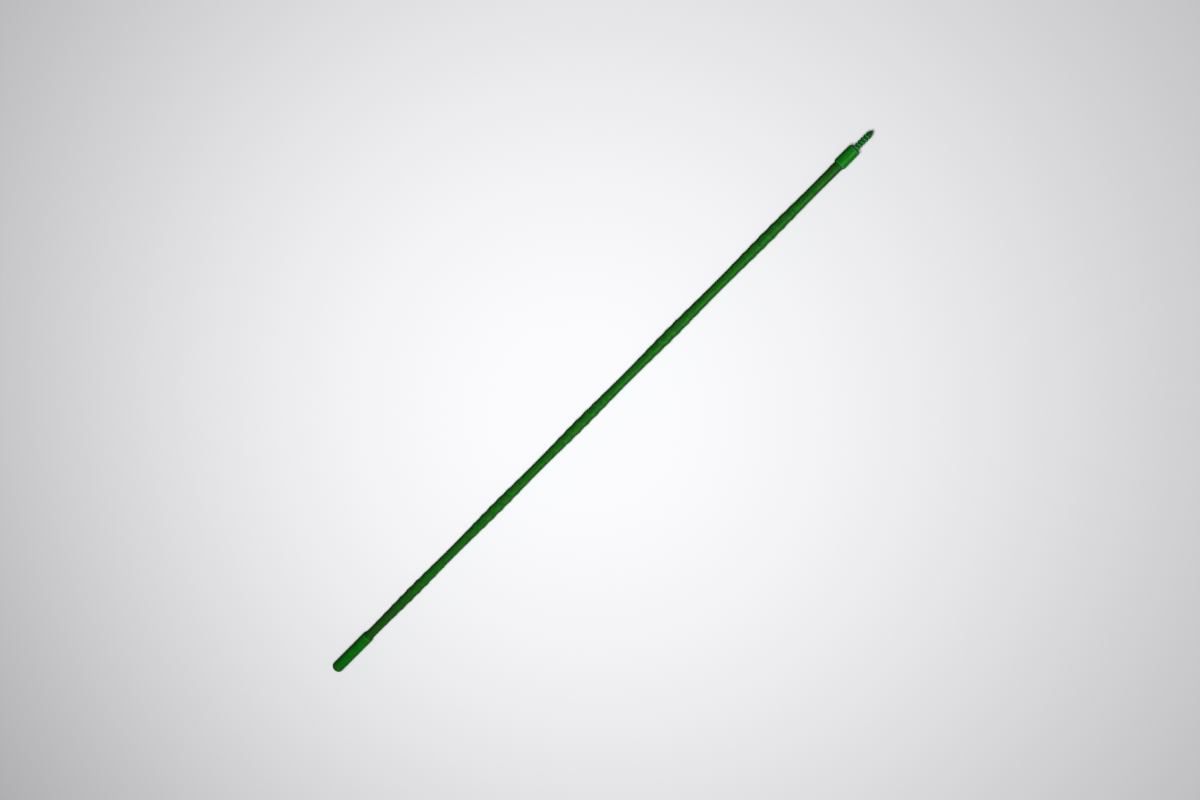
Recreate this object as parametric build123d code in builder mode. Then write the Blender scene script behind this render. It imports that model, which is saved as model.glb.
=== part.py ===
"""Roller extension pole: a two-section telescoping pole with a twist lock, lying collapsed on a surface.

The pole lies along X. The domed hand end is at -X and the threaded tip is at +X.
The origin is under the middle of the collapsed pole, on the surface that it lies on.
Places along the pole are given as the distance from the hand end, and every piece is round about one axis.
"""

import math
import os

from build123d import *

os.makedirs("parts", exist_ok=True)

# Whole pole
POLE_LENGTH = 1800.0
NUT_LOW_RADIUS = 14.55
AXIS_HEIGHT = NUT_LOW_RADIUS
RUNNING_FIT = 0.05
SLOPPY_FIT = 0.35
RIB_EMBED = 0.2
# A Bezier curve with this handle length is a quarter of an ellipse.
QUARTER_ROUND = 0.5523

# Outer section: thin steel tube with a moulded jacket
TUBE_START = 9.0
TUBE_END = 1704.5
TUBE_RADIUS = 10.0
TUBE_BORE = 9.4
JACKET_NECK_RADIUS = 11.0
ZONE_PITCH = 297.5
ZONE_SWELL = 1.6
ZONE_STEPS = 20

# End cap and what it covers
CAP_LENGTH = 133.0
CAP_RADIUS = 14.0
CAP_DOME = 10.0
CAP_TAPER_LENGTH = 8.0
CAP_TAPER_DEPTH = 2.5
END_PLUG_FLANGE = 2.0
END_PLUG_LENGTH = 20.0
BUMPER_LENGTH = 6.0
BUMPER_RADIUS = 8.5
BUMPER_ROUND = 1.5

# Twist lock
NUT_START = 1702.0
NUT_LENGTH = 46.0
NUT_HIGH_RADIUS = 14.0
NUT_LOW_CHAMFER = 1.2
NUT_HIGH_CHAMFER = 0.7
NUT_MOUTH_LENGTH = 3.5
NUT_SKIRT_BORE = 12.4
NUT_SKIRT_END = 1708.0
NUT_RING_BORE = 11.3
# Degrees from straight up, so that a mesh of the nut lies on a flat and not on an edge.
NUT_SEAM_TURN = 1.667
COLLET_START = 1644.5
COLLET_FLANGE = 3.0
COLLET_FLANGE_RADIUS = 11.9
COLLET_END = 1741.5
LOCK_PITCH = 4.0
LOCK_CORE_RADIUS = 11.0
LOCK_CREST_RADIUS = 11.8
LOCK_THREAD_END = 1721.5
LOCK_TURNS = 2.6
LOCK_RIB_BASE = 1.5
LOCK_RIB_CREST = 0.9
FINGER_START = 1722.5
FINGER_ROOT_RADIUS = 10.3
FINGER_TIP_RADIUS = 9.3
FINGER_SLOTS = 4
FINGER_SLOT_WIDTH = 1.4
RING_START = 1724.5
RING_RADIUS = 11.2
RING_CLEARANCE = 0.1

# Inner section
INNER_RADIUS = 8.0
INNER_BORE = 7.3
INNER_START = 100.0
INNER_END = 1742.5
GUIDE_START = 42.0
GUIDE_RADIUS = 9.0
GUIDE_GROOVE_RADIUS = 7.5
GUIDE_SPIGOT = 30.0
GUIDE_CHAMFER = 1.0
RING_SEAT_LENGTH = 10.0
RING_SEAT_OFFSET = 4.0
RING_END_PLAY = 0.2
RING_GAP = 2.0

# Threaded tip
TIP_SPIGOT = 38.0
TIP_SHOULDER_END = 1749.0
TIP_CREST_BASE = 8.2
TIP_CREST_END = 7.8
TIP_THREAD_END = 1791.0
TIP_PITCH = 7.9
TIP_GROOVE_RADIUS = 3.2
TIP_ROOT_RADIUS = 5.8
NOSE_BASE_RADIUS = 7.0
NOSE_TIP_RADIUS = 3.4
NOSE_ROUND = 2.4
NOSE_SLOPE = 0.55

# Rivets
RIVET_RADIUS = 1.4
RIVET_EMBED = 2.0
COLLET_RIVET_PLACE = TUBE_END - 18.0
PLUG_RIVET_PLACE = INNER_START + 15.0
TIP_RIVET_PLACE = INNER_END - 18.0

POLE_START = (-POLE_LENGTH / 2, 0, AXIS_HEIGHT)
# On this plane a point's first number is its place along the pole, and its second is its radius.
PROFILE = Plane(origin=POLE_START, x_dir=(1, 0, 0), z_dir=(0, -1, 0))
POLE_AXIS = Axis(POLE_START, (1, 0, 0))


def across(place):
    """The plane square to the pole at a place along it, facing the threaded tip."""
    return Plane(origin=(place - POLE_LENGTH / 2, 0, AXIS_HEIGHT), x_dir=(0, 1, 0), z_dir=(1, 0, 0))


def crosswise(place):
    """The plane through the pole's axis at a place along it, facing sideways, on which rivets are round."""
    return Plane(origin=across(place).origin, x_dir=(1, 0, 0), z_dir=(0, 1, 0))


def thread_rib(start, turns, pitch, radius, base_width, crest_width, base_depth, crest_height):
    """A helical rib on a cylinder of the given radius: a negative crest height points inwards."""
    with BuildPart() as rib:
        with BuildLine() as path:
            Helix(pitch, turns * pitch, radius, center=across(start).origin, direction=(1, 0, 0))
        with BuildSketch(Plane(origin=path.line @ 0, x_dir=(1, 0, 0), z_dir=path.line % 0)):
            with BuildLine():
                Polyline(
                    (-base_width / 2, base_depth),
                    (base_width / 2, base_depth),
                    (crest_width / 2, crest_height),
                    (-crest_width / 2, crest_height),
                    close=True,
                )
            make_face()
        sweep(path=path.line, is_frenet=True)
    return rib.part


def rivet_pair(place, surface_radius):
    """Two rivets on one line across the pole, their heads flush with a round surface."""
    with BuildPart() as rivets:
        with BuildSketch(crosswise(place)):
            Circle(RIVET_RADIUS)
        extrude(amount=surface_radius, both=True)
        with BuildSketch(across(place - RIVET_RADIUS * 2)):
            Circle(surface_radius)
            Circle(surface_radius - RIVET_EMBED, mode=Mode.SUBTRACT)
        extrude(amount=RIVET_RADIUS * 4, mode=Mode.INTERSECT)
    return rivets.part


# Steel outer tube, drilled for the collet's rivets
with BuildPart() as outer_tube:
    with BuildSketch(across(TUBE_START)):
        Circle(TUBE_RADIUS)
        Circle(TUBE_BORE, mode=Mode.SUBTRACT)
    extrude(amount=TUBE_END - TUBE_START)
    with BuildSketch(crosswise(COLLET_RIVET_PLACE)):
        Circle(RIVET_RADIUS)
    extrude(amount=TUBE_RADIUS * 2, both=True, mode=Mode.SUBTRACT)
outer_tube.part.label = "outer_tube"
export_step(outer_tube.part, "parts/outer_tube.step")


# Moulded jacket: plain under the cap, then slim necks and swollen zones in turn
def jacket_point(place):
    """The jacket's surface at a place: widest at each whole zone pitch, slim halfway between."""
    return (place, JACKET_NECK_RADIUS + ZONE_SWELL * math.cos(math.pi * place / ZONE_PITCH) ** 2)


first_neck = ZONE_PITCH / 2
zone_step = ZONE_PITCH / ZONE_STEPS
wave_steps = int((TUBE_END - first_neck) / zone_step)
wave_places = [first_neck + zone_step * step for step in range(wave_steps + 1)] + [TUBE_END]
with BuildPart() as outer_sleeve:
    with BuildSketch(PROFILE):
        with BuildLine():
            Polyline(
                (TUBE_END, TUBE_RADIUS),
                (TUBE_START, TUBE_RADIUS),
                (TUBE_START, JACKET_NECK_RADIUS),
                *[jacket_point(place) for place in wave_places],
                close=True,
            )
        make_face()
    revolve(axis=POLE_AXIS)
outer_sleeve.part.label = "outer_sleeve"
export_step(outer_sleeve.part, "parts/outer_sleeve.step")

# End cap: domed at the hand end, with a mouth that tapers down towards the jacket
cap_bore = JACKET_NECK_RADIUS + RUNNING_FIT
with BuildPart() as end_cap:
    with BuildSketch(PROFILE):
        with BuildLine():
            dome = Bezier(
                (CAP_DOME, CAP_RADIUS),
                (CAP_DOME * (1 - QUARTER_ROUND), CAP_RADIUS),
                (0, CAP_RADIUS * QUARTER_ROUND),
                (0, 0),
            )
            Polyline(
                dome @ 0,
                (CAP_LENGTH - CAP_TAPER_LENGTH, CAP_RADIUS),
                (CAP_LENGTH, CAP_RADIUS - CAP_TAPER_DEPTH),
                (CAP_LENGTH, cap_bore),
                (TUBE_START, cap_bore),
                (TUBE_START, 0),
                dome @ 1,
            )
        make_face()
    revolve(axis=POLE_AXIS)
end_cap.part.label = "end_cap"
export_step(end_cap.part, "parts/end_cap.step")

# Cup-shaped plug inside the hand end of the outer tube, its mouth against the cap's floor
with BuildPart() as end_plug:
    with BuildSketch(across(TUBE_START)):
        Circle(TUBE_BORE)
    extrude(amount=END_PLUG_LENGTH)
    with BuildSketch(across(TUBE_START)):
        Circle(TUBE_BORE - END_PLUG_FLANGE)
    extrude(amount=END_PLUG_LENGTH - END_PLUG_FLANGE * 2, mode=Mode.SUBTRACT)
end_plug.part.label = "end_plug"
export_step(end_plug.part, "parts/end_plug.step")

# Rubber pad that the inner section meets when it is pushed home
bumper_start = TUBE_START + END_PLUG_LENGTH
with BuildPart() as bumper_pad:
    with BuildSketch(across(bumper_start)):
        Circle(BUMPER_RADIUS)
    extrude(amount=BUMPER_LENGTH)
    fillet(bumper_pad.faces().sort_by(Axis.X)[-1].edges(), radius=BUMPER_ROUND)
bumper_pad.part.label = "bumper_pad"
export_step(bumper_pad.part, "parts/bumper_pad.step")

# Split collet in the mouth of the outer tube: shank, flange, male thread and tapered fingers
flange_end = TUBE_END + COLLET_FLANGE
collet_bore = INNER_RADIUS + RUNNING_FIT
lock_thread_start = flange_end + LOCK_PITCH / 2
collet_rib = thread_rib(
    lock_thread_start,
    LOCK_TURNS,
    LOCK_PITCH,
    LOCK_CORE_RADIUS,
    LOCK_RIB_BASE,
    LOCK_RIB_CREST,
    -RIB_EMBED,
    LOCK_CREST_RADIUS - LOCK_CORE_RADIUS,
)
with BuildPart() as lock_collet:
    with BuildSketch(PROFILE):
        with BuildLine():
            Polyline(
                (COLLET_START, collet_bore),
                (COLLET_START, TUBE_BORE),
                (TUBE_END, TUBE_BORE),
                (TUBE_END, COLLET_FLANGE_RADIUS),
                (flange_end, COLLET_FLANGE_RADIUS),
                (flange_end, LOCK_CORE_RADIUS),
                (LOCK_THREAD_END, LOCK_CORE_RADIUS),
                (FINGER_START, FINGER_ROOT_RADIUS),
                (COLLET_END, FINGER_TIP_RADIUS),
                (COLLET_END, collet_bore),
                close=True,
            )
        make_face()
    revolve(axis=POLE_AXIS)
    add(collet_rib)
    with BuildSketch(across(FINGER_START)):
        with PolarLocations(0, FINGER_SLOTS):
            Rectangle(LOCK_CREST_RADIUS, FINGER_SLOT_WIDTH, align=(Align.MIN, Align.CENTER))
    extrude(amount=COLLET_END - FINGER_START, mode=Mode.SUBTRACT)
    with BuildSketch(crosswise(COLLET_RIVET_PLACE)):
        Circle(RIVET_RADIUS)
    extrude(amount=TUBE_RADIUS, both=True, mode=Mode.SUBTRACT)
lock_collet.part.label = "lock_collet"
export_step(lock_collet.part, "parts/lock_collet.step")

# Rivets through the outer tube and the collet's shank
collet_rivets = rivet_pair(COLLET_RIVET_PLACE, TUBE_RADIUS)
collet_rivets.label = "collet_rivets"
export_step(collet_rivets, "parts/collet_rivets.step")

# Coned ring that squeezes the fingers: its cone follows theirs
finger_slope = (FINGER_ROOT_RADIUS - FINGER_TIP_RADIUS) / (COLLET_END - FINGER_START)
nut_end = NUT_START + NUT_LENGTH
nut_shoulder = nut_end - NUT_MOUTH_LENGTH
ring_end = nut_shoulder - RING_CLEARANCE


def finger_radius(place):
    """Radius of the fingers' cone at a place along the pole."""
    return FINGER_ROOT_RADIUS - finger_slope * (place - FINGER_START)


with BuildPart() as clamp_ring:
    with BuildSketch(PROFILE):
        with BuildLine():
            Polyline(
                (RING_START, finger_radius(RING_START) + RING_CLEARANCE),
                (RING_START, RING_RADIUS),
                (ring_end, RING_RADIUS),
                (ring_end, finger_radius(ring_end) + RING_CLEARANCE),
                close=True,
            )
        make_face()
    revolve(axis=POLE_AXIS)
clamp_ring.part.label = "clamp_ring"
export_step(clamp_ring.part, "parts/clamp_ring.step")

# Lock nut: slightly tapered outside, stepped bore inside, with a female thread half a pitch from the collet's
nut_thread_bore = LOCK_CREST_RADIUS + SLOPPY_FIT
nut_rib = thread_rib(
    lock_thread_start + LOCK_PITCH / 2,
    LOCK_TURNS,
    LOCK_PITCH,
    nut_thread_bore,
    LOCK_RIB_BASE,
    LOCK_RIB_CREST,
    RIB_EMBED,
    LOCK_CORE_RADIUS - nut_thread_bore + SLOPPY_FIT,
)
with BuildPart() as lock_nut:
    with BuildSketch(PROFILE.rotated((NUT_SEAM_TURN, 0, 0))):
        with BuildLine():
            Polyline(
                (NUT_START, NUT_SKIRT_BORE),
                (NUT_START, NUT_LOW_RADIUS - NUT_LOW_CHAMFER),
                (NUT_START + NUT_LOW_CHAMFER, NUT_LOW_RADIUS),
                (nut_end - NUT_HIGH_CHAMFER, NUT_HIGH_RADIUS),
                (nut_end, NUT_HIGH_RADIUS - NUT_HIGH_CHAMFER),
                (nut_end, INNER_RADIUS + SLOPPY_FIT),
                (nut_shoulder, INNER_RADIUS + SLOPPY_FIT),
                (nut_shoulder, NUT_RING_BORE),
                (FINGER_START + LOCK_PITCH / 2, NUT_RING_BORE),
                (FINGER_START + LOCK_PITCH / 2, nut_thread_bore),
                (NUT_SKIRT_END, nut_thread_bore),
                (NUT_SKIRT_END, NUT_SKIRT_BORE),
                close=True,
            )
        make_face()
    revolve(axis=POLE_AXIS)
    add(nut_rib)
lock_nut.part.label = "lock_nut"
export_step(lock_nut.part, "parts/lock_nut.step")

# Steel inner tube, drilled for the rivets at both ends
with BuildPart() as inner_tube:
    with BuildSketch(across(INNER_START)):
        Circle(INNER_RADIUS)
        Circle(INNER_BORE, mode=Mode.SUBTRACT)
    extrude(amount=INNER_END - INNER_START)
    for place in (PLUG_RIVET_PLACE, TIP_RIVET_PLACE):
        with BuildSketch(crosswise(place)):
            Circle(RIVET_RADIUS)
        extrude(amount=INNER_RADIUS * 2, both=True, mode=Mode.SUBTRACT)
inner_tube.part.label = "inner_tube"
export_step(inner_tube.part, "parts/inner_tube.step")

# Guide plug: runs in the outer tube on two split rings and plugs the low end of the inner tube
ring_seats = [GUIDE_START + RING_SEAT_OFFSET, INNER_START - RING_SEAT_OFFSET - RING_SEAT_LENGTH]
with BuildPart() as guide_plug:
    with BuildSketch(across(GUIDE_START)):
        Circle(GUIDE_RADIUS)
    extrude(amount=INNER_START - GUIDE_START)
    with BuildSketch(across(INNER_START)):
        Circle(INNER_BORE)
    extrude(amount=GUIDE_SPIGOT)
    for seat in ring_seats:
        with BuildSketch(across(seat)):
            Circle(GUIDE_RADIUS * 2)
            Circle(GUIDE_GROOVE_RADIUS, mode=Mode.SUBTRACT)
        extrude(amount=RING_SEAT_LENGTH, mode=Mode.SUBTRACT)
    with BuildSketch(crosswise(PLUG_RIVET_PLACE)):
        Circle(RIVET_RADIUS)
    extrude(amount=RIVET_EMBED * 5, both=True, mode=Mode.SUBTRACT)
    chamfer(guide_plug.faces().sort_by(Axis.X)[0].edges(), length=GUIDE_CHAMFER)
guide_plug.part.label = "guide_plug"
export_step(guide_plug.part, "parts/guide_plug.step")

# Split slide rings in the guide plug's grooves
for name, seat in zip(("slide_ring_low", "slide_ring_high"), ring_seats):
    with BuildPart() as slide_ring:
        with BuildSketch(across(seat + RING_END_PLAY)):
            Circle(TUBE_BORE - RUNNING_FIT)
            Circle(GUIDE_GROOVE_RADIUS + RUNNING_FIT, mode=Mode.SUBTRACT)
            Rectangle(RING_GAP, TUBE_BORE, align=(Align.CENTER, Align.MIN), mode=Mode.SUBTRACT)
        extrude(amount=RING_SEAT_LENGTH - RING_END_PLAY * 2)
    slide_ring.part.label = name
    export_step(slide_ring.part, f"parts/{name}.step")

# Threaded tip: spigot in the inner tube, shoulder, tapering coarse thread and rounded nose
groove_start = TIP_SHOULDER_END
groove_helix_radius = TIP_ROOT_RADIUS + TIP_GROOVE_RADIUS
with BuildPart() as tip_groove:
    with BuildLine() as groove_path:
        Helix(
            TIP_PITCH,
            TIP_THREAD_END - groove_start,
            groove_helix_radius,
            center=across(groove_start).origin,
            direction=(1, 0, 0),
        )
    with BuildSketch(Plane(origin=groove_path.line @ 0, x_dir=(1, 0, 0), z_dir=groove_path.line % 0)):
        Circle(TIP_GROOVE_RADIUS)
    sweep(path=groove_path.line, is_frenet=True)

with BuildPart() as threaded_tip:
    with BuildSketch(PROFILE):
        with BuildLine():
            flank = Polyline(
                (INNER_END - TIP_SPIGOT, 0),
                (INNER_END - TIP_SPIGOT, INNER_BORE),
                (INNER_END, INNER_BORE),
                (INNER_END, TIP_CREST_BASE),
                (TIP_SHOULDER_END, TIP_CREST_BASE),
                (TIP_THREAD_END - (TIP_CREST_END - NOSE_BASE_RADIUS), TIP_CREST_END),
                (TIP_THREAD_END, NOSE_BASE_RADIUS),
                (POLE_LENGTH - NOSE_ROUND, NOSE_TIP_RADIUS),
            )
            nose = Spline(flank @ 1, (POLE_LENGTH, 0), tangents=[(1, -NOSE_SLOPE), (0, -1)])
            Line(nose @ 1, flank @ 0)
        make_face()
    revolve(axis=POLE_AXIS)
    add(tip_groove.part, mode=Mode.SUBTRACT)
    with BuildSketch(crosswise(TIP_RIVET_PLACE)):
        Circle(RIVET_RADIUS)
    extrude(amount=RIVET_EMBED * 5, both=True, mode=Mode.SUBTRACT)
threaded_tip.part.label = "threaded_tip"
export_step(threaded_tip.part, "parts/threaded_tip.step")

# Rivets through the inner tube at its two ends
for name, place in (("plug_rivets", PLUG_RIVET_PLACE), ("tip_rivets", TIP_RIVET_PLACE)):
    rivets = rivet_pair(place, INNER_RADIUS)
    rivets.label = name
    export_step(rivets, f"parts/{name}.step")
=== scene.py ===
"""Looks of the roller extension pole: jacket, cap, lock nut and threaded tip in moulded green plastic,
steel tubes and the small pieces of the twist lock, on a pale floor under soft light.

Everything is in metres. The pole lies along X, so a point is given by its x, its distance from the pole's
axis, and its turn about the axis, counted from straight up and following a right-hand thread.
"""

import math

import bpy
import numpy as np
from mathutils import Matrix, Vector


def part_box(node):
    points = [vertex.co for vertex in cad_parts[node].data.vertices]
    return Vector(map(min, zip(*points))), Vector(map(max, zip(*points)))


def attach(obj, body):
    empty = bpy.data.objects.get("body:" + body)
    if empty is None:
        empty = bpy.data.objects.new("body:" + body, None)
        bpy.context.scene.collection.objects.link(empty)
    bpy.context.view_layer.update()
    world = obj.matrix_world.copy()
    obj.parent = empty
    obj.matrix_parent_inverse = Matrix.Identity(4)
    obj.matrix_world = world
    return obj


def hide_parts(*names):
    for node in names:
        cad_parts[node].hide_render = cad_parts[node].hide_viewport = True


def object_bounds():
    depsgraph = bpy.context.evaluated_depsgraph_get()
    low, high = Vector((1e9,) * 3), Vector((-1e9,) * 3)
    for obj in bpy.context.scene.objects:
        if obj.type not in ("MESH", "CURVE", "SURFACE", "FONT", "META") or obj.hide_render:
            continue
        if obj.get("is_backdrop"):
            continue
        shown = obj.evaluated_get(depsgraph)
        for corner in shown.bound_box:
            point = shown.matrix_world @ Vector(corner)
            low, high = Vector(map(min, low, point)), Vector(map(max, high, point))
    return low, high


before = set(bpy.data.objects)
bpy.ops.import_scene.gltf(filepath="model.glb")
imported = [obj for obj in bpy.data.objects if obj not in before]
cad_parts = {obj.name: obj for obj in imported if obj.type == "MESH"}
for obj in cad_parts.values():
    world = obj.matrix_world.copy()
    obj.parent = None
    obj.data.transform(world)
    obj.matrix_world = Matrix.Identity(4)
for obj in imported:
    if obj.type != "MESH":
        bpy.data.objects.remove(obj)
cad_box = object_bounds()

MM = 0.001


def reach(node):
    """Where a round CAD node starts and ends along the pole, and its largest radius."""
    low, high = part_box(node)
    return low[0], high[0], (high[1] - low[1]) / 2


POLE_START, CAP_END, CAP_RADIUS = reach("end_cap")
TUBE_START, TUBE_END, TUBE_RADIUS = reach("outer_tube")
NUT_START, NUT_END, NUT_RADIUS = reach("lock_nut")
TIP_START, POLE_END, TIP_RADIUS = reach("threaded_tip")
INNER_END = reach("inner_tube")[1]
AXIS_HEIGHT = (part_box("outer_tube")[0][2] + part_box("outer_tube")[1][2]) / 2

# Jacket
NECK_RADIUS = 11.0 * MM
ZONE_PITCH = 297.5 * MM
ZONE_SWELL = 1.6 * MM
RIPPLES_PER_ZONE = 10
RIPPLE_HEIGHT = 0.7 * MM
RIPPLE_SHARPNESS = 0.18
RIPPLE_FADE = 0.7
RIPPLE_WEAR = 0.2
JACKET_STEP = 2.0 * MM

# End cap
CAP_DOME = 10.0 * MM
CAP_DOME_STEPS = 14
CAP_TAPER_LENGTH = 8.0 * MM
CAP_TAPER_DEPTH = 2.5 * MM
CAP_BORE = 11.05 * MM
CAP_EDGE_ROUND = 0.6 * MM
CAP_LIP_ROUND = 0.35 * MM

# Lock nut and the thread inside it
NUT_HIGH_RADIUS = 14.0 * MM
NUT_LOW_CHAMFER = 1.2 * MM
NUT_HIGH_CHAMFER = 0.7 * MM
NUT_EDGE_ROUND = 0.3 * MM
NUT_SKIRT_BORE = 12.4 * MM
NUT_SKIRT_LENGTH = 6.0 * MM
NUT_THREAD_BORE = 12.15 * MM
NUT_THREAD_END = 22.5 * MM
NUT_THREAD_STEPS = 66
NUT_RING_BORE = 11.3 * MM
NUT_MOUTH_LENGTH = 3.5 * MM
NUT_MOUTH_BORE = 8.35 * MM
LOCK_PITCH = 4.0 * MM
LOCK_RIB_START = 9.5 * MM
LOCK_RIB_TURNS = 2.6
LOCK_RIB_BASE = 1.5 * MM
LOCK_RIB_CREST = 0.9 * MM
LOCK_RIB_HEIGHT = 0.8 * MM

# Threaded tip
TIP_SPIGOT_RADIUS = 7.3 * MM
TIP_SHOULDER = 6.5 * MM
TIP_THREAD_LENGTH = 42.0 * MM
TIP_THREAD_STEPS = 120
TIP_CREST_END = 7.8 * MM
TIP_PITCH = 7.9 * MM
TIP_GROOVE_RADIUS = 3.2 * MM
TIP_ROOT_RADIUS = 5.8 * MM
TIP_CREST_ROUND = 0.4 * MM
TIP_CREST_WEAR = 0.5 * MM
TIP_FADE_TURNS = 0.2
NOSE_BASE_RADIUS = 7.0 * MM
NOSE_TIP_RADIUS = 3.4 * MM
NOSE_ROUND = 2.4 * MM
NOSE_STEPS = 8

ROUND_SEGMENTS = 96
CORNER_STEPS = 5
LONGEST_SPAN = 4.0 * MM
SHARP_ANGLE = math.radians(50)

# Wear, painted shade and darkening: how strong each is, from 0 to 1, and how far it reaches
EDGE_WEAR_WIDTH = 1.6 * MM
DOME_WEAR = 0.7
NUT_WEAR = 0.55
# The jacket is darker towards the cap end and towards the nut
CAP_END_DARK_LENGTH = 260.0 * MM
CAP_END_DARKENING = 0.75
NUT_SIDE_DARK_LENGTH = 60.0 * MM
NUT_SIDE_DARKENING = 0.6
# Painted shade: the cap's mouth taper, the tip's thread grooves and the nut's two end rings are darkened
# where shade falls
MOUTH_PAINTED_SHADE = 0.9
GROOVE_PAINTED_SHADE = 0.75
NUT_END_PAINTED_SHADE = 0.8
NUT_END_SHADE_WIDTH = 1.3 * MM

# Surfaces: noise scales are in cells per metre, and a range is the stretch of a noise that a change spans
GREEN_SPECULAR = 0.5
GREEN_GLOSS_TINT = (0.30, 1.00, 0.30)
STAIN_RATIO = 0.6
PATCH_RANGE = (0.35, 0.66)
STAIN_RANGE = (0.50, 0.68)
STAIN_AMOUNT = 0.75
SPECK_SCALE = 900.0
SPECK_RANGE = (0.54, 0.75)
SPECK_AMOUNT = 0.40
SCUFF_SCALE = 60.0
SCUFF_STRETCH = (0.25, 12.0, 12.0)
SCUFF_RANGE = (0.60, 0.72)
SCUFF_AMOUNT = 0.25
SCUFF_ROUGH_RANGE = (0.56, 0.72)
SCUFF_ROUGH = 0.14
SCUFF_HEIGHT = 0.02 * MM
SCUFF_STRENGTH = 0.4
GRAIN_SCALE = 1600.0
GRAIN_HEIGHT = 0.03 * MM
GRAIN_STRENGTH = 0.8
PEEL_SCALE = 260.0
PEEL_HEIGHT = 0.08 * MM
RUB_RANGE = (0.35, 0.65)
RUB_AMOUNTS = (0.2, 0.9)
# How much the darkening, painted shade included, varies with the stain noise
DARKENING_RANGE = (0.25, 0.60)
DARKENING_AMOUNTS = (0.75, 1.0)
PATCH_ROUGH_RANGE = (0.3, 0.7)
PATCH_SMOOTHER = 0.05
PATCH_ROUGHER = 0.06

STEEL_LINE_SCALE = 90.0
STEEL_LINE_STRETCH = (0.05, 14.0, 14.0)
STEEL_LINE_RANGE = (0.3, 0.7)
STEEL_LINE_ROUGH = 0.08
STEEL_LINE_HEIGHT = 0.03 * MM
STEEL_LINE_STRENGTH = 0.5
STEEL_CLOUD_SCALE = 45.0
STEEL_CLOUD_RANGE = (0.35, 0.7)
STEEL_CLOUD_AMOUNT = 0.8
STEEL_CLOUD_ROUGH_RANGE = (0.4, 0.7)
STEEL_CLOUD_ROUGH = 0.12
STEEL_SPECK_RANGE = (0.62, 0.75)
STEEL_SPECK_AMOUNT = 0.5
STEEL_SPECK_HEIGHT = 0.02 * MM
STEEL_SPECK_STRENGTH = 0.4

MOULDING_CLOUD_SCALE = 120.0
MOULDING_CLOUD_RANGE = (0.35, 0.7)
MOULDING_GRAIN_SCALE = 1100.0
MOULDING_GRAIN_RANGE = (0.3, 0.7)
MOULDING_GRAIN_ROUGH = 0.07
MOULDING_GRAIN_STRENGTH = 0.7

# Floor, light and camera
FLOOR_SIZE = 16.0
FLOOR_LIGHT = (0.80, 0.80, 0.815)
FLOOR_DARK = (0.785, 0.785, 0.80)
FIBRE_SCALE = 300.0
AIM = (0.0615, 0.0069, AXIS_HEIGHT)
OVERHEAD_SIZE = 1.2
OVERHEAD_PLACE = (-0.02, 0.0069, 2.5)
OVERHEAD_WATTS = 76.0
MAIN_LENGTH = 1.4
MAIN_WIDTH = 0.6
MAIN_PLACE = (0.1, -0.80, 2.2)
MAIN_WATTS = 84.0
RIM_LENGTH = 2.0
RIM_WIDTH = 0.35
RIM_PLACE = (0.35, -1.45, 1.75)
RIM_WATTS = 20.0
WORLD_COLOUR = (0.97, 0.98, 1.0)
WORLD_STRENGTH = 0.06
CAMERA_LENS = 35.2
CAMERA_TILT = 13.0
CAMERA_ROLL = 45.07
CAMERA_DISTANCE = 2.694


# ---------------------------------------------------------------- shapes

def place(x, radius, turn):
    """A point at an x along the pole, a radius and a turn from straight up."""
    return (x, -radius * math.sin(turn), AXIS_HEIGHT + radius * math.cos(turn))


def softened(corners):
    """An open outline whose corners (x, radius, rounding) are rounded by short curves."""
    points = []
    last = len(corners) - 1
    for index, (x, radius, rounding) in enumerate(corners):
        if index in (0, last) or rounding == 0:
            points.append((x, radius))
            continue
        here = Vector((x, radius))
        before = Vector(corners[index - 1][:2]) - here
        after = Vector(corners[index + 1][:2]) - here
        start = here + before.normalized() * rounding
        end = here + after.normalized() * rounding
        for step in range(CORNER_STEPS + 1):
            share = step / CORNER_STEPS
            points.append(tuple(start.lerp(here, share).lerp(here.lerp(end, share), share)))
    return points


def divided(outline):
    """The same outline with points added, so that no span is longer than LONGEST_SPAN."""
    points = [outline[0]]
    for low, high in zip(outline, outline[1:]):
        spans = max(1, math.ceil(math.dist(low, high) / LONGEST_SPAN))
        for step in range(1, spans + 1):
            points.append(tuple(Vector(low).lerp(Vector(high), step / spans)))
    return points


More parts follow.
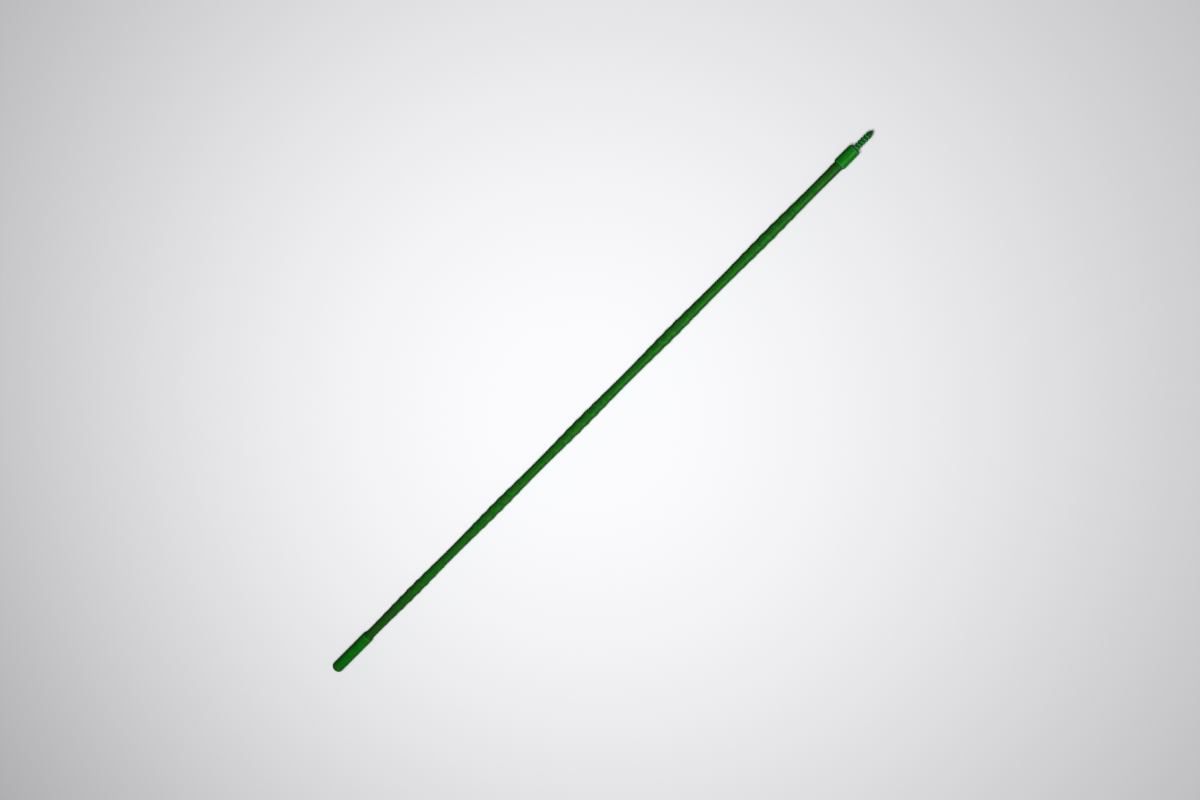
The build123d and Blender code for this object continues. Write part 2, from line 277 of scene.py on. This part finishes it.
def turned(name, outline, closed, relief=None, wear=None, darkening=None):
    """A piece turned about the pole's axis from an outline of (x, radius) points.

    A closed outline makes a ring, an open one starts and ends on the axis. relief(x, radius, turn) is how
    far the surface stands out there. The wear and darkening functions, called with (x, radius, turn), give
    how
    rubbed it is and how much darker: painted shade at the cap's mouth, the nut's ends and the tip's thread
    grooves, and a plain darkening towards the jacket's ends. Both are kept on the points for the material."""
    vertices = []
    worn = []
    darkened = []
    rings = []
    for x, radius in outline:
        turns = [2 * math.pi * segment / ROUND_SEGMENTS for segment in range(ROUND_SEGMENTS)]
        if radius == 0:
            turns = [0.0]
        rings.append(range(len(vertices), len(vertices) + len(turns)))
        for turn in turns:
            out = radius + (relief(x, radius, turn) if relief else 0.0)
            vertices.append(place(x, out, turn))
            worn.append(wear(x, out, turn) if wear else 0.0)
            darkened.append(darkening(x, out, turn) if darkening else 0.0)
    pairs = list(zip(rings, rings[1:]))
    if closed:
        pairs.append((rings[-1], rings[0]))
    faces = []
    for low, high in pairs:
        for segment in range(ROUND_SEGMENTS):
            following = (segment + 1) % ROUND_SEGMENTS
            if len(low) == 1:
                faces.append((low[0], high[following], high[segment]))
            elif len(high) == 1:
                faces.append((low[segment], low[following], high[0]))
            else:
                faces.append((low[segment], low[following], high[following], high[segment]))
    mesh = bpy.data.meshes.new(name)
    mesh.from_pydata(vertices, [], faces)
    mesh.shade_smooth()
    mesh.set_sharp_from_angle(angle=SHARP_ANGLE)
    for kind, values in (("wear", worn), ("darkening", darkened)):
        attribute = mesh.attributes.new(kind, "FLOAT", "POINT")
        attribute.data.foreach_set("value", np.array(values, dtype=np.float32))
    piece = bpy.data.objects.new(name, mesh)
    bpy.context.scene.collection.objects.link(piece)
    return piece


def near(value, centre, width):
    """1 where a value is at a centre, falling smoothly to 0 a width away."""
    return 1 - smooth_step(abs(value - centre), 0.0, width)


def smooth_step(value, low, high):
    """0 below low, 1 above high, smooth between."""
    share = min(max((value - low) / (high - low), 0.0), 1.0)
    return share * share * (3 - 2 * share)


def smooth_least(first, second, round_off):
    """The smaller of two lengths, rounded off where they cross."""
    share = min(max(0.5 + 0.5 * (second - first) / round_off, 0.0), 1.0)
    return second + (first - second) * share - round_off * share * (1 - share)


def zone_height(x):
    """How swollen the jacket is at an x, from 0 at a neck to 1 in the middle of a zone."""
    along = x - POLE_START
    if along < ZONE_PITCH / 2:
        return 0.0
    return math.cos(math.pi * along / ZONE_PITCH) ** 2


def ripple(x, turn):
    """The jacket's helical ripple, from about -1 in a furrow to 1 on a crest."""
    phase = 2 * math.pi * RIPPLES_PER_ZONE * (x - POLE_START) / ZONE_PITCH - turn
    return (math.cos(phase) + RIPPLE_SHARPNESS * math.cos(2 * phase)) / (1 + RIPPLE_SHARPNESS)


def make_jacket():
    """Textured jacket of the outer tube: slim necks, swollen zones, and a ripple winding round each zone."""
    steps = round((TUBE_END - TUBE_START) / JACKET_STEP)
    outline = []
    for step in range(steps + 1):
        x = TUBE_START + (TUBE_END - TUBE_START) * step / steps
        outline.append((x, NECK_RADIUS + ZONE_SWELL * zone_height(x)))
    outline += [(TUBE_END, TUBE_RADIUS), (TUBE_START, TUBE_RADIUS)]

    def relief(x, radius, turn):
        if radius <= TUBE_RADIUS:
            return 0.0
        return RIPPLE_HEIGHT * ripple(x, turn) * zone_height(x) ** RIPPLE_FADE

    def wear(x, radius, turn):
        return max(0.0, ripple(x, turn)) * zone_height(x) * RIPPLE_WEAR

    # Darker towards the cap end and towards the nut
    def darkening(x, radius, turn):
        near_cap_end = near(x, CAP_END, CAP_END_DARK_LENGTH)
        return max(CAP_END_DARKENING * near_cap_end, NUT_SIDE_DARKENING * near(x, NUT_START, NUT_SIDE_DARK_LENGTH))

    return turned("jacket_skin", outline, True, relief, wear, darkening)


def make_cap():
    """Long end cap with a domed end and a mouth that tapers to the jacket."""
    outline = []
    for step in range(CAP_DOME_STEPS):
        angle = math.pi / 2 * step / CAP_DOME_STEPS
        outline.append((POLE_START + CAP_DOME * (1 - math.cos(angle)), CAP_RADIUS * math.sin(angle)))
    taper_start = CAP_END - CAP_TAPER_LENGTH
    mouth_radius = CAP_RADIUS - CAP_TAPER_DEPTH
    outline += divided(softened([
        (POLE_START + CAP_DOME, CAP_RADIUS, 0),
        (taper_start, CAP_RADIUS, CAP_EDGE_ROUND),
        (CAP_END, mouth_radius, CAP_LIP_ROUND),
        (CAP_END, CAP_BORE, 0),
        (TUBE_START, CAP_BORE, 0),
        (TUBE_START, 0, 0),
    ]))

    def wear(x, radius, turn):
        rubbed_end = DOME_WEAR * near(x, POLE_START, CAP_DOME)
        return max(rubbed_end, near(x, taper_start, EDGE_WEAR_WIDTH))

    # Painted shade: the mouth taper is darkened where the jacket enters the cap
    def darkening(x, radius, turn):
        return MOUTH_PAINTED_SHADE * smooth_step(x, taper_start, taper_start + EDGE_WEAR_WIDTH)

    return turned("cap_shell", outline, False, wear=wear, darkening=darkening)


def make_nut():
    """Lock nut: a plain tapering sleeve outside, and a short female thread inside."""
    thread_start = NUT_START + NUT_SKIRT_LENGTH
    thread_end = NUT_START + NUT_THREAD_END
    mouth = NUT_END - NUT_MOUTH_LENGTH
    outline = divided(softened([
        (NUT_START, NUT_SKIRT_BORE, 0),
        (NUT_START, NUT_RADIUS - NUT_LOW_CHAMFER, NUT_EDGE_ROUND),
        (NUT_START + NUT_LOW_CHAMFER, NUT_RADIUS, NUT_EDGE_ROUND),
        (NUT_END - NUT_HIGH_CHAMFER, NUT_HIGH_RADIUS, NUT_EDGE_ROUND),
        (NUT_END, NUT_HIGH_RADIUS - NUT_HIGH_CHAMFER, NUT_EDGE_ROUND),
        (NUT_END, NUT_MOUTH_BORE, NUT_EDGE_ROUND),
        (mouth, NUT_MOUTH_BORE, 0),
        (mouth, NUT_RING_BORE, 0),
        (thread_end, NUT_RING_BORE, 0),
    ]))
    for step in range(NUT_THREAD_STEPS + 1):
        outline.append((thread_end + (thread_start - thread_end) * step / NUT_THREAD_STEPS, NUT_THREAD_BORE))
    outline += [(thread_start, NUT_SKIRT_BORE)]

    def relief(x, radius, turn):
        if radius != NUT_THREAD_BORE:
            return 0.0
        turns = (x - NUT_START - LOCK_RIB_START) / LOCK_PITCH
        whole = round(turns - turn / (2 * math.pi))
        rib_turns = whole + turn / (2 * math.pi)
        if not 0 <= rib_turns <= LOCK_RIB_TURNS:
            return 0.0
        off_centre = abs(turns - rib_turns) * LOCK_PITCH
        flank = (LOCK_RIB_BASE / 2 - off_centre) / (LOCK_RIB_BASE / 2 - LOCK_RIB_CREST / 2)
        return -LOCK_RIB_HEIGHT * min(max(flank, 0.0), 1.0)

    def wear(x, radius, turn):
        if radius < NUT_THREAD_BORE:
            return 0.0
        low_edge = near(x, NUT_START + NUT_LOW_CHAMFER, EDGE_WEAR_WIDTH)
        return NUT_WEAR * max(low_edge, near(x, NUT_END - NUT_HIGH_CHAMFER, EDGE_WEAR_WIDTH))

    # Painted shade: a dark ring at each end of the nut, where the seams are
    def darkening(x, radius, turn):
        return NUT_END_PAINTED_SHADE * max(near(x, NUT_START, NUT_END_SHADE_WIDTH), near(x, NUT_END, NUT_END_SHADE_WIDTH))

    return turned("nut_shell", outline, True, relief, wear, darkening)


def make_tip():
    """Threaded tip: spigot and shoulder, a coarse round-bottomed thread, and a blunt nose."""
    shoulder_end = INNER_END + TIP_SHOULDER
    thread_end = shoulder_end + TIP_THREAD_LENGTH
    crest_end = thread_end - (TIP_CREST_END - NOSE_BASE_RADIUS)
    outline = divided([
        (TIP_START, 0),
        (TIP_START, TIP_SPIGOT_RADIUS),
        (INNER_END, TIP_SPIGOT_RADIUS),
        (INNER_END, TIP_RADIUS),
        (shoulder_end, TIP_RADIUS),
    ])
    for step in range(1, TIP_THREAD_STEPS + 1):
        share = step / TIP_THREAD_STEPS
        x = shoulder_end + (crest_end - shoulder_end) * share
        outline.append((x, TIP_RADIUS + (TIP_CREST_END - TIP_RADIUS) * share))
    outline += divided(softened([
        (thread_end, NOSE_BASE_RADIUS, 0),
        (POLE_END - NOSE_ROUND, NOSE_TIP_RADIUS, 0),
    ]))
    for step in range(1, NOSE_STEPS + 1):
        angle = math.pi / 2 * step / NOSE_STEPS
        x = POLE_END - NOSE_ROUND * (1 - math.sin(angle))
        outline.append((x, NOSE_TIP_RADIUS * math.cos(angle) if step < NOSE_STEPS else 0))

    def relief(x, radius, turn):
        if not shoulder_end < x <= crest_end:
            return 0.0
        turns = (x - shoulder_end) / TIP_PITCH
        whole = round(turns - turn / (2 * math.pi))
        groove_turns = whole + turn / (2 * math.pi)
        off_centre = (turns - groove_turns) * TIP_PITCH
        if abs(off_centre) >= TIP_GROOVE_RADIUS:
            return 0.0
        round_bottom = math.sqrt(TIP_GROOVE_RADIUS ** 2 - off_centre ** 2)
        groove_radius = TIP_ROOT_RADIUS + TIP_GROOVE_RADIUS - round_bottom
        depth = radius - smooth_least(radius, groove_radius, TIP_CREST_ROUND)
        return -depth * smooth_step(groove_turns, -TIP_FADE_TURNS, TIP_FADE_TURNS)

    # Painted shade: a point is darker the deeper it lies in the thread grooves
    def darkening(x, radius, turn):
        return GROOVE_PAINTED_SHADE * smooth_step(TIP_CREST_END - radius, 0.0, TIP_CREST_END - TIP_ROOT_RADIUS)

    def wear(x, radius, turn):
        if x < shoulder_end:
            return 0.0
        crest = TIP_RADIUS + (TIP_CREST_END - TIP_RADIUS) * (x - shoulder_end) / TIP_THREAD_LENGTH
        return max(smooth_step(radius, crest - TIP_CREST_WEAR, crest), near(x, POLE_END, NOSE_ROUND))

    return turned("tip_thread", outline, False, relief, wear, darkening)


# ---------------------------------------------------------------- materials

def new_material(name):
    """A node material with a Principled shader, its node tree, and object coordinates."""
    material = bpy.data.materials.new(name)
    material.use_nodes = True
    tree = material.node_tree
    shader = tree.nodes["Principled BSDF"]
    coordinates = tree.nodes.new("ShaderNodeTexCoord").outputs["Object"]
    return material, tree, shader, coordinates


def noise(tree, coordinates, scale, detail=3.0, stretch=(1.0, 1.0, 1.0)):
    """A noise value of a scale in cells per metre, stretched along the axes."""
    mapping = tree.nodes.new("ShaderNodeMapping")
    mapping.inputs["Scale"].default_value = stretch
    tree.links.new(coordinates, mapping.inputs["Vector"])
    node = tree.nodes.new("ShaderNodeTexNoise")
    node.inputs["Scale"].default_value = scale
    node.inputs["Detail"].default_value = detail
    tree.links.new(mapping.outputs["Vector"], node.inputs["Vector"])
    return node.outputs["Fac"]


def ranged(tree, value, before, after):
    """A value mapped from one (low, high) range to another and held inside it."""
    node = tree.nodes.new("ShaderNodeMapRange")
    node.inputs["From Min"].default_value = before[0]
    node.inputs["From Max"].default_value = before[1]
    node.inputs["To Min"].default_value = after[0]
    node.inputs["To Max"].default_value = after[1]
    tree.links.new(value, node.inputs["Value"])
    return node.outputs["Result"]


def combined(tree, operation, first, second):
    """Two values added or multiplied."""
    node = tree.nodes.new("ShaderNodeMath")
    node.operation = operation
    tree.links.new(first, node.inputs[0])
    tree.links.new(second, node.inputs[1])
    return node.outputs["Value"]


def mixed(tree, amount, first, second):
    """A colour between two: each is an output of the tree or a plain colour."""
    first_colour, second_colour, mixed_colour = 6, 7, 2
    node = tree.nodes.new("ShaderNodeMix")
    node.data_type = "RGBA"
    tree.links.new(amount, node.inputs["Factor"])
    for colour, index in ((first, first_colour), (second, second_colour)):
        socket = node.inputs[index]
        if isinstance(colour, tuple):
            socket.default_value = (*colour, 1.0)
        else:
            tree.links.new(colour, socket)
    return node.outputs[mixed_colour]


def bumped(tree, height, distance, strength=1.0, normal=None):
    """A normal bent by a height, on top of another normal if one is given."""
    node = tree.nodes.new("ShaderNodeBump")
    node.inputs["Distance"].default_value = distance
    node.inputs["Strength"].default_value = strength
    tree.links.new(height, node.inputs["Height"])
    if normal is not None:
        tree.links.new(normal, node.inputs["Normal"])
    return node.outputs["Normal"]


def moulded_green(name, colour, deep, olive, pale, darkened, roughness, patch_scale, patch_stretch):
    """Green moulded plastic: patches of deeper and browner green, specks, scuffs, grain, rub, and a darker
    colour kept on the points: painted shade at the cap's mouth, the nut's ends and the tip's grooves, a plain
    darkening towards the jacket's ends.
    """
    material, tree, shader, coordinates = new_material(name)
    patches = noise(tree, coordinates, patch_scale, detail=4.0, stretch=patch_stretch)
    stains = noise(tree, coordinates, patch_scale * STAIN_RATIO, detail=3.0, stretch=patch_stretch)
    specks = noise(tree, coordinates, SPECK_SCALE, detail=2.0)
    scuffs = noise(tree, coordinates, SCUFF_SCALE, detail=2.0, stretch=SCUFF_STRETCH)
    grain = noise(tree, coordinates, GRAIN_SCALE, detail=2.0)
    peel = noise(tree, coordinates, PEEL_SCALE, detail=2.0)
    worn = tree.nodes.new("ShaderNodeAttribute")
    worn.attribute_name = "wear"
    darkening = tree.nodes.new("ShaderNodeAttribute")
    darkening.attribute_name = "darkening"
    base = mixed(tree, ranged(tree, patches, PATCH_RANGE, (0.0, 1.0)), colour, deep)
    base = mixed(tree, ranged(tree, stains, STAIN_RANGE, (0.0, STAIN_AMOUNT)), base, olive)
    base = mixed(tree, ranged(tree, specks, SPECK_RANGE, (0.0, SPECK_AMOUNT)), base, pale)
    base = mixed(tree, ranged(tree, scuffs, SCUFF_RANGE, (0.0, SCUFF_AMOUNT)), base, pale)
    rubbed = combined(tree, "MULTIPLY", worn.outputs["Fac"], ranged(tree, peel, RUB_RANGE, RUB_AMOUNTS))
    base = mixed(tree, rubbed, base, pale)
    # The darker colour: painted shade at joints and in grooves, a plain darkening towards the jacket's ends
    darkening_amount = combined(tree, "MULTIPLY", darkening.outputs["Fac"], ranged(tree, stains, DARKENING_RANGE, DARKENING_AMOUNTS))
    base = mixed(tree, darkening_amount, base, darkened)
    tree.links.new(base, shader.inputs["Base Color"])
    rough = combined(
        tree,
        "ADD",
        ranged(tree, patches, PATCH_ROUGH_RANGE, (roughness - PATCH_SMOOTHER, roughness + PATCH_ROUGHER)),
        ranged(tree, scuffs, SCUFF_ROUGH_RANGE, (0.0, SCUFF_ROUGH)),
    )
    tree.links.new(rough, shader.inputs["Roughness"])
    normal = bumped(tree, peel, PEEL_HEIGHT)
    normal = bumped(tree, grain, GRAIN_HEIGHT, GRAIN_STRENGTH, normal)
    normal = bumped(tree, scuffs, SCUFF_HEIGHT, SCUFF_STRENGTH, normal)
    tree.links.new(normal, shader.inputs["Normal"])
    shader.inputs["Specular IOR Level"].default_value = GREEN_SPECULAR
    shader.inputs["Specular Tint"].default_value = (*GREEN_GLOSS_TINT, 1.0)
    return material


def drawn_steel(name, colour, dull, roughness):
    """Plated steel tube: fine lines drawn along it, cloudy plating and small dull specks."""
    material, tree, shader, coordinates = new_material(name)
    lines = noise(tree, coordinates, STEEL_LINE_SCALE, detail=5.0, stretch=STEEL_LINE_STRETCH)
    clouds = noise(tree, coordinates, STEEL_CLOUD_SCALE, detail=5.0)
    specks = noise(tree, coordinates, SPECK_SCALE, detail=2.0)
    base = mixed(tree, ranged(tree, clouds, STEEL_CLOUD_RANGE, (0.0, STEEL_CLOUD_AMOUNT)), colour, dull)
    base = mixed(tree, ranged(tree, specks, STEEL_SPECK_RANGE, (0.0, STEEL_SPECK_AMOUNT)), base, dull)
    tree.links.new(base, shader.inputs["Base Color"])
    shader.inputs["Metallic"].default_value = 1.0
    rough = combined(
        tree,
        "ADD",
        ranged(tree, lines, STEEL_LINE_RANGE, (roughness - STEEL_LINE_ROUGH, roughness + STEEL_LINE_ROUGH)),
        ranged(tree, clouds, STEEL_CLOUD_ROUGH_RANGE, (0.0, STEEL_CLOUD_ROUGH)),
    )
    tree.links.new(rough, shader.inputs["Roughness"])
    normal = bumped(tree, lines, STEEL_LINE_HEIGHT, STEEL_LINE_STRENGTH)
    normal = bumped(tree, specks, STEEL_SPECK_HEIGHT, STEEL_SPECK_STRENGTH, normal)
    tree.links.new(normal, shader.inputs["Normal"])
    return material


def plain_moulding(name, colour, deep, roughness, grain_height):
    """Nylon, black plastic or rubber inside the pole: a cloudy tone and a moulded grain."""
    material, tree, shader, coordinates = new_material(name)
    clouds = noise(tree, coordinates, MOULDING_CLOUD_SCALE, detail=4.0)
    grain = noise(tree, coordinates, MOULDING_GRAIN_SCALE, detail=3.0)
    base = mixed(tree, ranged(tree, clouds, MOULDING_CLOUD_RANGE, (0.0, 1.0)), colour, deep)
    tree.links.new(base, shader.inputs["Base Color"])
    least = roughness - MOULDING_GRAIN_ROUGH
    rough = ranged(tree, grain, MOULDING_GRAIN_RANGE, (least, roughness + MOULDING_GRAIN_ROUGH))
    tree.links.new(rough, shader.inputs["Roughness"])
    tree.links.new(bumped(tree, grain, grain_height, MOULDING_GRAIN_STRENGTH), shader.inputs["Normal"])
    return material


def dress(piece, material):
    """Gives every material slot of a piece this material."""
    if not piece.material_slots:
        piece.data.materials.append(material)
    for slot in piece.material_slots:
        slot.material = material


# ---------------------------------------------------------------- the pole

jacket = make_jacket()
cap = make_cap()
nut = make_nut()
tip = make_tip()

jacket_green = moulded_green(
    "jacket_green",
    colour=(0.0040, 0.0900, 0.0030),
    deep=(0.0020, 0.0480, 0.0035),
    olive=(0.0130, 0.0620, 0.0018),
    pale=(0.0280, 0.1550, 0.0210),
    darkened=(0.0080, 0.0400, 0.0040),
    roughness=0.44,
    patch_scale=130.0,
    patch_stretch=(0.7, 1.5, 1.5),
)
cap_green = moulded_green(
    "cap_green",
    colour=(0.0010, 0.1020, 0.0015),
    deep=(0.0008, 0.0740, 0.0015),
    olive=(0.0040, 0.0830, 0.0020),
    pale=(0.0140, 0.1550, 0.0130),
    darkened=(0.0010, 0.0450, 0.0015),
    roughness=0.42,
    patch_scale=70.0,
    patch_stretch=(0.8, 1.3, 1.3),
)
nut_green = moulded_green(
    "nut_green",
    colour=(0.0015, 0.1250, 0.0030),
    deep=(0.0012, 0.0950, 0.0030),
    olive=(0.0060, 0.1150, 0.0040),
    pale=(0.0300, 0.2300, 0.0300),
    darkened=(0.0010, 0.0500, 0.0020),
    roughness=0.38,
    patch_scale=90.0,
    patch_stretch=(1.0, 1.2, 1.2),
)
tip_green = moulded_green(
    "tip_green",
    colour=(0.0050, 0.1200, 0.0110),
    deep=(0.0035, 0.0850, 0.0090),
    olive=(0.0080, 0.1000, 0.0080),
    pale=(0.0250, 0.2200, 0.0400),
    darkened=(0.0010, 0.0300, 0.0030),
    roughness=0.40,
    patch_scale=120.0,
    patch_stretch=(1.0, 1.0, 1.0),
)
tube_steel = drawn_steel("tube_steel", (0.50, 0.51, 0.52), (0.33, 0.34, 0.35), 0.34)
inner_steel = drawn_steel("inner_steel", (0.62, 0.63, 0.64), (0.45, 0.46, 0.47), 0.28)
rivet_steel = drawn_steel("rivet_steel", (0.58, 0.58, 0.57), (0.40, 0.40, 0.39), 0.30)
nylon = plain_moulding("nylon", (0.62, 0.60, 0.54), (0.52, 0.50, 0.44), 0.45, 0.02 * MM)
black_plastic = plain_moulding("black_plastic", (0.018, 0.018, 0.019), (0.030, 0.030, 0.031), 0.50, 0.02 * MM)
rubber = plain_moulding("rubber", (0.012, 0.012, 0.012), (0.022, 0.021, 0.020), 0.78, 0.04 * MM)

for piece, material, body, node, slot in (
    (jacket, jacket_green, "outer_pole", "outer_sleeve", "jacket"),
    (cap, cap_green, "outer_pole", "end_cap", "cap"),
    (nut, nut_green, "nut", "lock_nut", "nut"),
    (tip, tip_green, "inner_pole", "threaded_tip", "tip"),
):
    dress(piece, material)
    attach(piece, body)
    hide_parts(node)

for node, material in (
    ("outer_tube", tube_steel),
    ("inner_tube", inner_steel),
    ("collet_rivets", rivet_steel),
    ("plug_rivets", rivet_steel),
    ("tip_rivets", rivet_steel),
    ("end_plug", black_plastic),
    ("clamp_ring", black_plastic),
    ("lock_collet", nylon),
    ("guide_plug", black_plastic),
    ("slide_ring_low", nylon),
    ("slide_ring_high", nylon),
    ("bumper_pad", rubber),
):
    dress(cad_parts[node], material)


# ---------------------------------------------------------------- floor, light and camera

def make_floor():
    """A large pale floor that the pole lies on."""
    half = FLOOR_SIZE / 2
    corners = [(-half, -half, 0), (half, -half, 0), (half, half, 0), (-half, half, 0)]
    mesh = bpy.data.meshes.new("floor")
    mesh.from_pydata(corners, [], [(0, 1, 2, 3)])
    material, tree, shader, coordinates = new_material("floor_paper")
    fibre = noise(tree, coordinates, FIBRE_SCALE, detail=2.0)
    tree.links.new(mixed(tree, fibre, FLOOR_LIGHT, FLOOR_DARK), shader.inputs["Base Color"])
    shader.inputs["Roughness"].default_value = 1.0
    shader.inputs["Specular IOR Level"].default_value = 0.0
    mesh.materials.append(material)
    floor = bpy.data.objects.new("floor", mesh)
    bpy.context.scene.collection.objects.link(floor)
    floor.visible_glossy = False
    floor.visible_diffuse = False
    floor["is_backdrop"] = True
    return floor


def make_light(name, shape, size, length, place, watts):
    """A soft light at a place, turned to the middle of the scene and hidden from the camera."""
    data = bpy.data.lights.new(name, "AREA")
    data.shape = shape
    data.size = size
    data.size_y = length
    data.energy = watts
    light = bpy.data.objects.new(name, data)
    bpy.context.scene.collection.objects.link(light)
    light.location = place
    light.rotation_euler = (Vector(AIM) - Vector(place)).to_track_quat("-Z", "Y").to_euler()
    light.visible_camera = False
    return light


def make_camera():
    """A camera that looks down on the pole, with the tip up and to the right and nearer than the cap."""
    tilt = math.radians(CAMERA_TILT)
    roll = math.radians(CAMERA_ROLL)
    along = Vector((math.cos(tilt) * math.cos(roll), math.cos(tilt) * math.sin(roll), math.sin(tilt)))
    sideways = Vector((-math.sin(roll), math.cos(roll), 0))
    upwards = along.cross(sideways)
    turning = Matrix((along, sideways, upwards))
    data = bpy.data.cameras.new("camera")
    data.lens = CAMERA_LENS
    camera = bpy.data.objects.new("camera", data)
    bpy.context.scene.collection.objects.link(camera)
    stand = Vector(AIM) + turning @ Vector((0, 0, CAMERA_DISTANCE))
    camera.matrix_world = Matrix.Translation(stand) @ turning.to_4x4()
    bpy.context.scene.camera = camera


def only_on(light, pieces):
    """Lets a light fall on these pieces alone, so that the floor's and the pole's light are set apart."""
    group = bpy.data.collections.new(light.name + "_falls_on")
    for piece in pieces:
        group.objects.link(piece)
    light.light_linking.receiver_collection = group


floor = make_floor()
make_camera()
pole = [jacket, cap, nut, tip] + list(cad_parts.values())
overhead = make_light("overhead", "DISK", OVERHEAD_SIZE, OVERHEAD_SIZE, OVERHEAD_PLACE, OVERHEAD_WATTS)
only_on(overhead, [floor])
main = make_light("main", "RECTANGLE", MAIN_LENGTH, MAIN_WIDTH, MAIN_PLACE, MAIN_WATTS)
only_on(main, pole)
main.visible_glossy = False
rim = make_light("rim", "RECTANGLE", RIM_LENGTH, RIM_WIDTH, RIM_PLACE, RIM_WATTS)
only_on(rim, pole)

world = bpy.data.worlds.new("studio")
world.use_nodes = True
world.node_tree.nodes["Background"].inputs["Color"].default_value = (*WORLD_COLOUR, 1.0)
world.node_tree.nodes["Background"].inputs["Strength"].default_value = WORLD_STRENGTH
bpy.context.scene.world = world
bpy.context.scene.view_settings.view_transform = "Standard"

[[list(corner) for corner in box] for box in (cad_box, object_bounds())]
